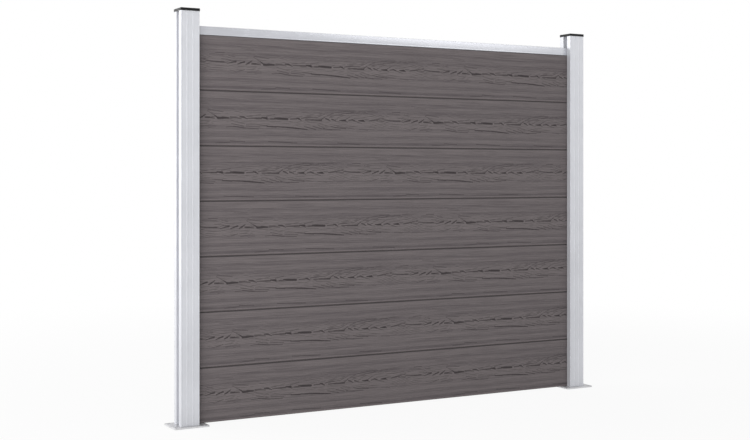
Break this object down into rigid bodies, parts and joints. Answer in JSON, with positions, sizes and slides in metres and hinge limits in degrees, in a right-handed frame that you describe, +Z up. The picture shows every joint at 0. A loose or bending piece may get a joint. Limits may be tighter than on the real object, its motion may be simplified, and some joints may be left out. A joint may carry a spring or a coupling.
{
  "type": "composite fence panel",
  "caption": "Privacy fence panel of hollow tongue-and-groove composite boards stacked in two slotted aluminium posts, with a top rail, caps and bolt-down foot plates.",
  "frame": {"origin": "on the ground, midway between the two posts, at the centre of the panel's thickness", "axes": "+X along the fence, +Y from the front face to the back, +Z up"},
  "size_m": [1.86, 0.11, 1.4935],
  "materials": {
    "composite": "grey wood composite with an embossed wood grain, matt",
    "post_aluminium": "satin anodised extrusion",
    "rail_aluminium": "satin anodised extrusion",
    "plate_aluminium": "blasted plate, satin",
    "cap_plastic": "black moulded plastic, fine grain",
    "screw_steel": "stainless steel"
  },
  "bodies": {
    "root": {"board_1": "composite", "board_2": "composite", "board_3": "composite", "board_4": "composite", "board_5": "composite", "board_6": "composite", "board_7": "composite", "top_rail": "rail_aluminium", "post_left": "post_aluminium", "post_right": "post_aluminium", "post_cap_left": "cap_plastic", "post_cap_right": "cap_plastic", "foot_plate_left": "plate_aluminium", "foot_plate_right": "plate_aluminium", "foot_screws_left": "screw_steel", "foot_screws_right": "screw_steel"}
  },
  "joints": []
}
